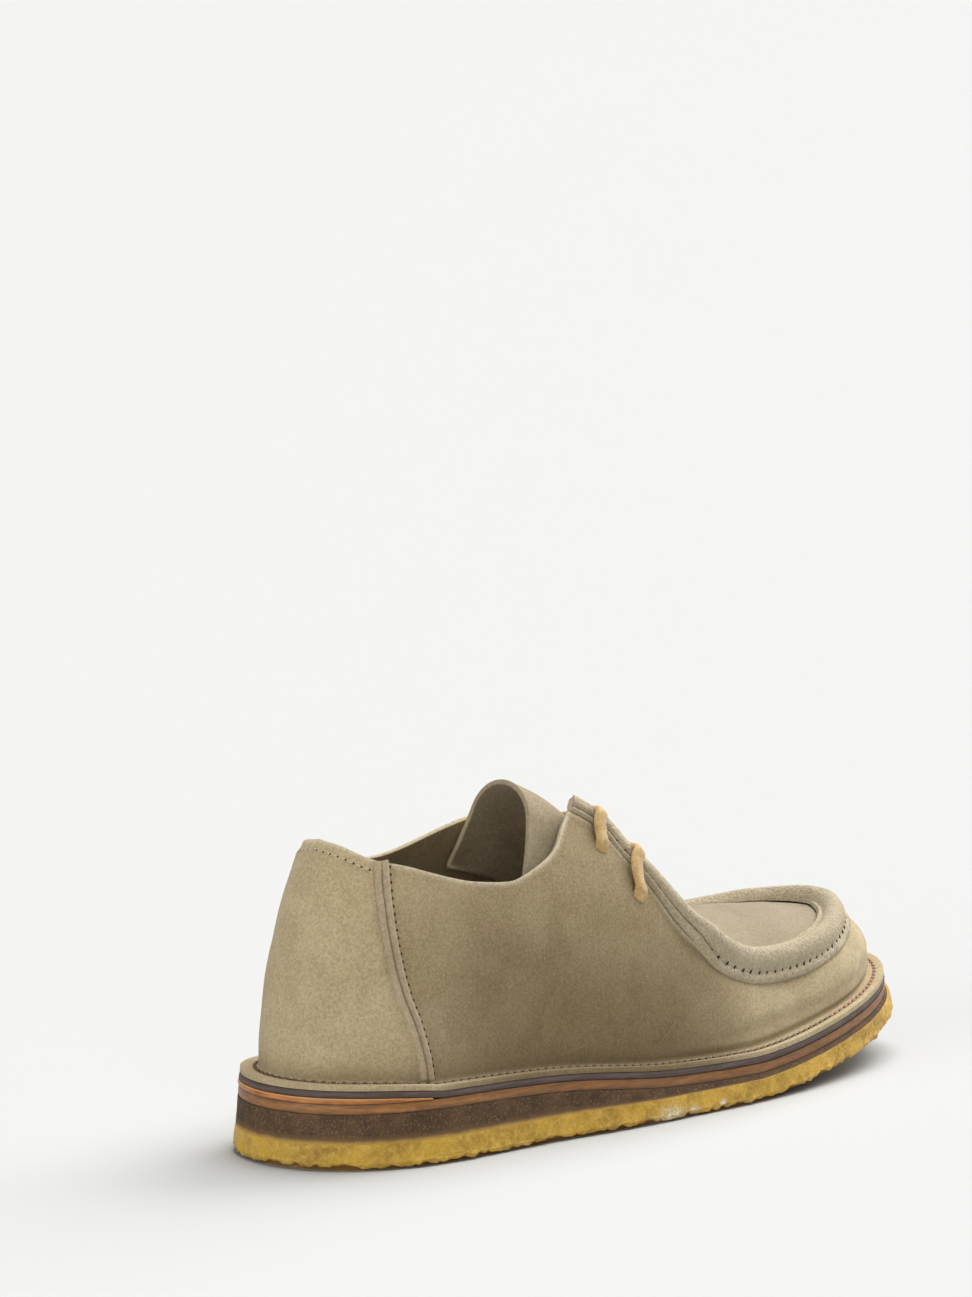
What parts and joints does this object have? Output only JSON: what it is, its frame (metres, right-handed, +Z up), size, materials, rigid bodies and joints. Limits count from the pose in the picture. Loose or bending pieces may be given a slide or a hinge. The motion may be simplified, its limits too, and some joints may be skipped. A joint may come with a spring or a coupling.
{
  "type": "desert boot",
  "caption": "Low suede desert boot with a moccasin toe, raised heel seams, a curled tongue and a layered crepe sole, for the right foot.",
  "frame": {"origin": "on the ground under the middle of the heel", "axes": "+X towards the toe, +Y towards the inner side of the foot, +Z up"},
  "size_m": [0.3104, 0.1054, 0.1209],
  "materials": {
    "crepe": "honey-yellow crepe with a crumbly lower edge",
    "wedge_cork": "dark brown speckled, matt",
    "midsole_leather": "tan, cut and waxed edge",
    "heel_leather": "orange-tan, cut edge",
    "rand_leather": "dark brown edge",
    "insole_board": "matt board",
    "suede": "sand suede with mottled nap",
    "tongue_suede": "single suede layer, flesh side inside",
    "lace": "soft golden tan cord"
  },
  "bodies": {
    "root": {"outsole": "crepe", "wedge": "wedge_cork", "midsole": "midsole_leather", "heel_rand": "heel_leather", "rand": "rand_leather", "insole": "insole_board", "upper": "suede", "apron": "suede", "apron_roll": "suede", "tongue": "tongue_suede", "facing_strip_lateral": "suede", "facing_strip_medial": "suede", "heel_seam_lateral": "suede", "heel_seam_medial": "suede", "lace_upper": "lace", "lace_lower": "lace"}
  },
  "joints": []
}
